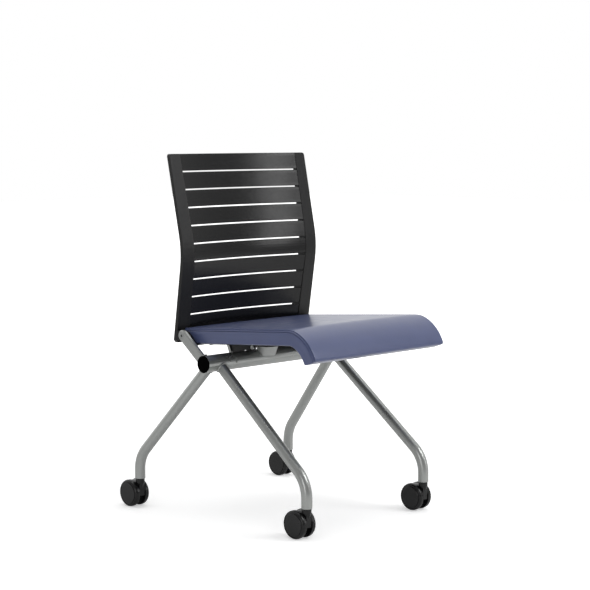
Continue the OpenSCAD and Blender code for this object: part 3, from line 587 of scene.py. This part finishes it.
# Side view of the seat as in the frame, but for its rear edge, which ends 0.3 mm sooner
SEAT_REAR_Y = 400.2
CREASE_Y = 32.0
CREASE_Z = 468.7
RAKE = math.radians(4.4)
ROLL_R = 97.5
ROLL_START = math.radians(9.1)
ROLL_END = math.radians(71.0)
TAPER_START_Y = 100.0
CORNER_R = 9.0
ROLL_CENTRE = (CREASE_Y + ROLL_R * math.sin(ROLL_START), CREASE_Z - ROLL_R * math.cos(ROLL_START))
# Distance between cross sections, and how far the cover's turn reaches to each side of the
# crease
RING_STEP = 6.5
CREASE_BLEND = 13.0
# Places of the sections that round each end of the seat; the last is the rounding's radius
EDGE_INSETS = (0.0, 0.9, 2.2, 4.2, 7.0)
# Closer than this, two places are the same
TOUCH = 0.01


def seat_stations():
    """Points of the top seam line from the rear to the front, each with the direction that
    points up through the cushion there and the inset of its edges."""
    flat_up = Vector((0, math.sin(RAKE), math.cos(RAKE)))
    stations = []
    rear = [SEAT_REAR_Y - inset for inset in EDGE_INSETS]
    count = round((rear[-1] - CREASE_Y) / RING_STEP)
    run = rear + [rear[-1] + (CREASE_Y - rear[-1]) * i / count for i in range(1, count)]
    for y in run:
        z = CREASE_Z - (y - CREASE_Y) * math.tan(RAKE)
        stations.append([Vector((0, y, z)), flat_up])
    sweep = ROLL_END - ROLL_START
    count = round(ROLL_R * sweep / RING_STEP)
    turns = [ROLL_START + sweep * i / count for i in range(count)]
    turns += [ROLL_END - inset / ROLL_R for inset in reversed(EDGE_INSETS)]
    for turn in sorted(set(turns)):
        up = Vector((0, -math.sin(turn), math.cos(turn)))
        stations.append([Vector((0, ROLL_CENTRE[0], ROLL_CENTRE[1])) + up * ROLL_R, up])
    # The cover turns gently at the crease, not at a point
    runs = [0.0]
    for a, b in zip(stations, stations[1:]):
        runs.append(runs[-1] + (b[0] - a[0]).length)
    crease_run = next(r for r, s in zip(runs, stations) if s[0].y <= CREASE_Y + TOUCH)
    roll_up = Vector((0, -math.sin(ROLL_START), math.cos(ROLL_START)))
    blunt = math.tan((RAKE + ROLL_START) / 2) * CREASE_BLEND / 2
    for run_here, station in zip(runs, stations):
        away = (run_here - crease_run) / CREASE_BLEND
        if abs(away) < 1:
            share = (away + 1) / 2
            station[1] = (flat_up * (1 - share) + roll_up * share).normalized()
            station[0] = station[0] - station[1] * blunt * (1 - abs(away)) ** 2
    last = runs[-1]
    out = []
    for run_here, (point, up) in zip(runs, stations):
        from_end = min(run_here, last - run_here)
        r = EDGE_INSETS[-1]
        inset = 0.0 if from_end >= r else r - math.sqrt(r * r - (r - from_end) ** 2)
        out.append((point, up, inset))
    return out


def seat_half_width(y):
    """Half the seat's width: narrower to the rear, with rounded rear corners."""
    sizes = settings().seat
    wide, narrow = sizes.half_width / MM, sizes.rear_half_width / MM
    if y > TAPER_START_Y:
        wide += (narrow - wide) * (y - TAPER_START_Y) / (SEAT_REAR_Y - TAPER_START_Y)
    back = max(0.0, SEAT_REAR_Y - y)
    if back < CORNER_R:
        wide -= CORNER_R - math.sqrt(CORNER_R ** 2 - (CORNER_R - back) ** 2)
    return wide


# Half section along the underside: shares of the width, then distance in from the edge and
# height where the cover turns up
LOW_SHARES = (0.0, 0.2, 0.4, 0.6, 0.8, 0.92)
LOW_TURN = ((5.0, 0.0), (3.0, 0.25), (1.4, 1.0), (0.4, 2.4))
# Points up the side panel, the shares of a step before the first and after the last, and
# their inset
SIDE_POINTS = 6
SIDE_BEFORE_SHARE = 0.8
SIDE_AFTER_SHARE = 0.5
SIDE_INSET = 0.3
# Half section at the top edge: distance in from the edge and height over the panel's edge, and
# whether the cover is sewn down there. A welt lies between two grooves
SEAM_SECTION = ((0.6, -10.5, False), (0.45, -8.9, False), (0.45, -7.6, False),
                (0.5, -6.8, True), (0.9, -6.4, True), (2.5, -6.0, True), (2.5, -5.6, True),
                (0.6, -5.2, True), (0.0, -4.6, True), (0.1, -3.9, True), (0.8, -3.0, True),
                (1.6, -2.4, True), (2.3, -2.2, True), (3.6, -2.1, True), (3.6, -1.6, True),
                (2.4, -1.0, True), (2.5, -0.1, True), (3.1, 0.5, True), (4.4, 0.7, False),
                (9.0, 0.7, False))
# The band's width at which the section's numbers are millimetres
BAND_IN_SECTION = 4.2
TOP_SHARES = (0.955, 0.93, 0.89, 0.84, 0.78, 0.71, 0.64, 0.56, 0.48, 0.4, 0.32, 0.24, 0.16,
              0.08, 0.0)
# The seam's point that the stitches follow, at the bottom of the upper groove
SEAM_STITCH = 13
STITCH_POINT = len(LOW_SHARES) + len(LOW_TURN) + SIDE_POINTS + SEAM_STITCH
# Cross sections at each end that stay as they are, because the cover is sewn shut there
HELD_ENDS = 2


def seat_section(width, inset):
    """Half a cross section from the bottom's middle to the top's middle: x, height over the
    underside, and whether the cover is held there."""
    sizes = settings().seat
    pull = sizes.side_pull / MM
    low = inset
    high = sizes.thickness / MM - inset
    band = sizes.band_width / MM / BAND_IN_SECTION
    points = [(width * s, low, True) for s in LOW_SHARES]
    points += [(width - off, low + rise, True) for off, rise in LOW_TURN]
    side_rise = high + SEAM_SECTION[0][1] * band - low
    steps = SIDE_BEFORE_SHARE + SIDE_POINTS - 1 + SIDE_AFTER_SHARE
    for k in range(SIDE_POINTS):
        s = (k + SIDE_BEFORE_SHARE) / steps
        drawn_in = pull * math.sin(math.pi * s)
        points.append((width - drawn_in - SIDE_INSET, low + side_rise * s, False))
    points += [(width - off, high + rise * band, held) for off, rise, held in SEAM_SECTION]
    last_off, last_rise, _ = SEAM_SECTION[-1]
    for s in TOP_SHARES:
        lift = sizes.crown / MM * (1 - s ** 2)
        points.append(((width - last_off) * s, high + last_rise * band + lift, False))
    return points


def seat_vertices():
    """Rings of the cushion as lists of points, and the held flags of one ring."""
    rings = []
    flags = []
    for point, up, inset in seat_stations():
        t = settings().seat.thickness / MM
        half = seat_section(seat_half_width(point.y), inset)
        ring = [Vector((x, 0, 0)) + point + up * (h - t) for x, h, held in half]
        mirror = [Vector((-v.x, v.y, v.z)) for v in reversed(ring[1:-1])]
        rings.append(ring + mirror)
        held_half = [held for x, h, held in half]
        flags = held_half + list(reversed(held_half[1:-1]))
    return rings, flags


def build_cushion():
    """The closed cover, its held vertices, and how many rings of how many points it has."""
    rings, flags = seat_vertices()
    size = len(flags)
    build = bmesh.new()
    rows = [[build.verts.new(place(*v)) for v in ring] for ring in rings]
    for low, high in zip(rows, rows[1:]):
        for k in range(size):
            m = (k + 1) % size
            build.faces.new((low[k], high[k], high[m], low[m]))
    half = size // 2
    for row, flip in ((rows[0], True), (rows[-1], False)):
        for k in range(half):
            # Rungs across the end, from the ring's lower line to its upper line
            a, b = row[k], row[k + 1]
            c, d = row[(size - k - 1) % size], row[(size - k) % size]
            corners = list(dict.fromkeys((a, b, c, d)))
            if len(corners) > 2:
                build.faces.new(corners if flip else list(reversed(corners)))
    mesh = outward_mesh(build, "seat_upholstery")
    held = [k + i * size for i in range(len(rings)) for k in range(size)
            if flags[k] or not HELD_ENDS <= i < len(rings) - HELD_ENDS]
    return mesh, held, len(rings), size


def swell(piece, held):
    """Lets the padding swell under its cover, with the seams held down."""
    sizes = settings().seat
    group = piece.vertex_groups.new(name="held")
    group.add(held, 1.0, "REPLACE")
    rest = [v.co.copy() for v in piece.data.vertices]
    cloth = piece.modifiers.new("padding", "CLOTH")
    cloth.settings.quality = 6
    cloth.settings.mass = 0.4
    cloth.settings.tension_stiffness = 12
    cloth.settings.compression_stiffness = 12
    cloth.settings.bending_stiffness = 3
    cloth.settings.use_pressure = True
    cloth.settings.uniform_pressure_force = sizes.pressure
    cloth.settings.effector_weights.gravity = 0
    cloth.settings.vertex_group_mass = "held"
    cloth.point_cache.frame_end = sizes.frames
    scene = bpy.context.scene
    for number in range(1, sizes.frames + 1):
        scene.frame_set(number)
    evaluated = piece.evaluated_get(bpy.context.evaluated_depsgraph_get())
    moved = [v.co.copy() for v in evaluated.data.vertices]
    piece.modifiers.remove(cloth)
    scene.frame_set(1)
    for vertex, start, end in zip(piece.data.vertices, rest, moved):
        step = end - start
        far = step.length
        if far > 0:
            # The swell nears its cap without a sharp edge where it is reached
            step *= sizes.swell * (1 - math.exp(-far / sizes.swell)) / far
        vertex.co = start + step
    piece.vertex_groups.clear()


def subdivide(piece):
    """Rounds a piece by one subdivision, applied to its mesh."""
    modifier = piece.modifiers.new("rounding", "SUBSURF")
    modifier.levels = 1
    modifier.render_levels = 1
    graph = bpy.context.evaluated_depsgraph_get()
    fine = bpy.data.meshes.new_from_object(piece.evaluated_get(graph))
    piece.modifiers.clear()
    name = piece.data.name
    old = piece.data
    piece.data = fine
    bpy.data.meshes.remove(old)
    fine.name = name
    fine.shade_smooth()


class CHAIR_OT_seat_cushion(bpy.types.Operator):
    """Builds the padded seat with its side panels and welted seams"""
    bl_idname = "chair.seat_cushion"
    bl_label = "Upholster the seat"

    def execute(self, context):
        mesh, held, ring_count, size = build_cushion()
        piece = bpy.data.objects.new("seat_upholstery", mesh)
        context.scene.collection.objects.link(piece)
        mesh.materials.append(coated_upholstery())
        swell(piece, held)
        rows = range(HELD_ENDS, ring_count - HELD_ENDS)
        seams = {}
        for side, column in (("left", STITCH_POINT), ("right", size - STITCH_POINT)):
            seams[side] = [mesh.vertices[i * size + column].co.copy() for i in rows]
        normals = [mesh.vertices[i * size + STITCH_POINT].normal.copy() for i in rows]
        subdivide(piece)
        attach(piece, "seat")
        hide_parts("seat_cushion")
        sew(seams, normals)
        return {"FINISHED"}


def walk(points, step):
    """Points at even steps along a line, each with the direction of travel."""
    out = []
    carry = 0.0
    for a, b in zip(points, points[1:]):
        gap = (b - a).length
        at = carry
        while at < gap:
            out.append((a.lerp(b, at / gap), (b - a) / gap))
            at += step
        carry = at - gap
    return out


THREAD_SIDES = 6
# Half a stitch as a share of the pitch, and the places of its rings as shares of that half
STITCH_HALF_SHARE = 0.38
STITCH_PLACE_SHARES = (-1.0, -0.7, 0.0, 0.7, 1.0)
# In thread radii: a stitch's thickness in its middle and what it loses to its ends, and how
# high its middle stands and how far its ends dip from there
STITCH_FULL = 1.15
STITCH_THINNING = 0.75
STITCH_STAND = 0.5
STITCH_DIP = 1.3


def sew(seams, normals):
    """A row of stitches in the upper groove of each side seam."""
    sizes = settings().seat
    thread = polyester_thread()
    half = sizes.stitch_pitch * STITCH_HALF_SHARE
    for side, line in seams.items():
        build = bmesh.new()
        for point, along in walk(line, sizes.stitch_pitch):
            nearest = min(range(len(line)), key=lambda i: (line[i] - point).length)
            normal = normals[nearest].copy()
            normal.x = 0
            normal.normalize()
            across = along.cross(normal).normalized()
            rings = []
            for share in STITCH_PLACE_SHARES:
                radius = sizes.stitch_radius * (STITCH_FULL - STITCH_THINNING * abs(share) ** 3)
                rise = sizes.stitch_radius * (STITCH_STAND - STITCH_DIP * share * share)
                centre = point + along * (half * share) + normal * rise
                rings.append(tube_ring(build, centre, across, normal, radius, THREAD_SIDES))
            tube_faces(build, rings)
        mesh = outward_mesh(build, "seam_stitches_" + side)
        mesh.shade_smooth()
        new_piece(mesh.name, mesh, thread, "seat")


# Camera of the photograph, fitted to the feet, the beam and the back
CAMERA_PLACE = (-2.7226, -2.7380, 0.8979)
CAMERA_YAW = -45.1131
CAMERA_PITCH = 5.6714
CAMERA_LENS = 98.994
SENSOR_WIDTH = 36.0
STAGE_SIZE = 30.0
# Distances from the chair over which the floor grows white by itself, and how white
FLOOR_REACH = (0.7, 2.6)
FLOOR_WHITE = (0.42, 1.0)
# Direction of the room's bright side, and how the wall fades round to the near side
BRIGHT_SIDE = (0.5, 0.86, 0.1)
WALL_FADE = (-0.25, 0.6)
LAMPS = (
    # Name, setting, place, target, width, height
    ("front_softbox", "key", (1.5, -2.8, 3.1), (0, 0, 0.6), 1.6, 1.6),
    ("small_softbox", "window", (2.3, -3.15, 1.6), (0, 0.1, 0.65), 0.65, 2.1),
    ("side_softbox", "fill", (-3.6, -1.7, 1.2), (0, 0, 0.4), 1.4, 1.8),
    ("top_softbox", "top", (0.3, 0.2, 3.4), (0, 0, 0.4), 2.6, 2.6),
)


def rays_that_look(tree):
    """1 for rays that look at the room: the camera's, reflections and what glass lets through."""
    path = add(tree, "ShaderNodeLightPath")
    seen = add(tree, "ShaderNodeMath", links={0: (path, "Is Camera Ray"),
                                              1: (path, "Is Glossy Ray")}, operation="MAXIMUM")
    return path, add(tree, "ShaderNodeMath", links={0: (seen, "Value"),
                                                    1: (path, "Is Transmission Ray")},
                     operation="MAXIMUM")


class CHAIR_OT_stage(bpy.types.Operator):
    """Builds the pale floor, the lamps, the white room and the camera"""
    bl_idname = "chair.stage"
    bl_label = "Build the studio"

    def execute(self, context):
        scene = context.scene
        sizes = settings().stage
        build = bmesh.new()
        bmesh.ops.create_grid(build, x_segments=2, y_segments=2, size=STAGE_SIZE / 2)
        mesh = bpy.data.meshes.new("studio_floor")
        build.to_mesh(mesh)
        build.free()
        floor = bpy.data.objects.new("studio_floor", mesh)
        scene.collection.objects.link(floor)
        mesh.materials.append(self.floor_finish(sizes))
        for name, setting, where, target, width, height in LAMPS:
            lamp = bpy.data.lights.new(name, "AREA")
            lamp.shape = "RECTANGLE"
            lamp.size = width
            lamp.size_y = height
            lamp.energy = getattr(sizes, setting)
            holder = bpy.data.objects.new(name, lamp)
            holder.location = where
            aim = Vector(target) - Vector(where)
            holder.rotation_euler = aim.to_track_quat("-Z", "Y").to_euler()
            scene.collection.objects.link(holder)
        self.room(scene, sizes)
        camera = bpy.data.cameras.new("photo_camera")
        camera.lens = CAMERA_LENS
        camera.sensor_width = SENSOR_WIDTH
        camera.clip_end = 2 * STAGE_SIZE
        holder = bpy.data.objects.new("photo_camera", camera)
        holder.location = CAMERA_PLACE
        holder.rotation_euler = (math.radians(90 - CAMERA_PITCH), 0, math.radians(CAMERA_YAW))
        scene.collection.objects.link(holder)
        scene.camera = holder
        scene.view_settings.view_transform = "Standard"
        return {"FINISHED"}

    def floor_finish(self, sizes):
        """Matt white floor: it keeps soft shadows and adds white only where it is seen, and
        most of it far from the chair, where the lamps don't reach."""
        made, tree, shader = surface("matt_white_floor", Roughness=0.9, Base_Color=sizes.floor)
        path = add(tree, "ShaderNodeLightPath")
        where = object_space(tree)
        away = add(tree, "ShaderNodeVectorMath", links={0: (where, "Object")},
                   operation="LENGTH")
        far = add(tree, "ShaderNodeMapRange",
                  {"From Min": FLOOR_REACH[0], "From Max": FLOOR_REACH[1],
                   "To Min": FLOOR_WHITE[0], "To Max": FLOOR_WHITE[1]},
                  {"Value": (away, "Value")})
        lift = add(tree, "ShaderNodeMath", links={0: (path, "Is Camera Ray"),
                                                  1: (far, "Result")}, operation="MULTIPLY")
        shader.inputs["Emission Color"].default_value = (1, 1, 1, 1)
        tree.links.new(lift.outputs["Value"], shader.inputs["Emission Strength"])
        return made

    def room(self, scene, sizes):
        """White room: it lights the chair evenly, and white shows wherever it is seen."""
        world = bpy.data.worlds.new("white_room")
        scene.world = world
        world.use_nodes = True
        tree = world.node_tree
        plain = tree.nodes["Background"]
        plain.inputs["Color"].default_value = (1, 1, 1, 1)
        plain.inputs["Strength"].default_value = sizes.sky
        path, seen = rays_that_look(tree)
        # In reflections the room is white behind the chair and dimmer on its near side
        where = object_space(tree)
        ahead = add(tree, "ShaderNodeVectorMath", {1: BRIGHT_SIDE},
                    {0: (where, "Generated")}, operation="DOT_PRODUCT")
        wall = add(tree, "ShaderNodeMapRange",
                   {"From Min": WALL_FADE[0], "From Max": WALL_FADE[1],
                    "To Min": sizes.near_wall, "To Max": 1.0},
                   {"Value": (ahead, "Value")})
        bright = add(tree, "ShaderNodeMath", links={0: (path, "Is Camera Ray"),
                                                    1: (wall, "Result")}, operation="MAXIMUM")
        white = add(tree, "ShaderNodeBackground", {"Color": (1, 1, 1, 1)},
                    {"Strength": (bright, "Value")})
        mixed = add(tree, "ShaderNodeMixShader", links={0: (seen, "Value"),
                                                        1: (plain, "Background"),
                                                        2: (white, "Background")})
        tree.links.new(mixed.outputs["Shader"], tree.nodes["World Output"].inputs["Surface"])


class CHAIR_PT_panel(bpy.types.Panel):
    """Lists the steps that finish the chair"""
    bl_idname = "CHAIR_PT_panel"
    bl_label = "Nesting Chair"
    bl_space_type = "VIEW_3D"
    bl_region_type = "UI"
    bl_category = "Nesting Chair"

    def draw(self, context):
        for step in STEPS:
            self.layout.operator(step.bl_idname)
        for group in (settings().seat, settings().frame, settings().finish, settings().stage):
            box = self.layout.box()
            box.label(text=group.bl_rna.description)
            for name in group.__annotations__:
                box.prop(group, name)


STEPS = (CHAIR_OT_stage, CHAIR_OT_frame_finish, CHAIR_OT_weld_beads, CHAIR_OT_back_finish,
         CHAIR_OT_caster_finish, CHAIR_OT_hardware_finish, CHAIR_OT_seat_cushion)
CLASSES = (SeatSettings, FrameSettings, FinishSettings, StageSettings, ChairSettings,
           *STEPS, CHAIR_PT_panel)


def register():
    for made in CLASSES:
        bpy.utils.register_class(made)
    bpy.types.Scene.nesting_chair = PointerProperty(type=ChairSettings)


def unregister():
    del bpy.types.Scene.nesting_chair
    for made in reversed(CLASSES):
        bpy.utils.unregister_class(made)


def main():
    register()
    for step in STEPS:
        area, name = step.bl_idname.split(".")
        getattr(getattr(bpy.ops, area), name)()


if __name__ == "__main__":
    main()
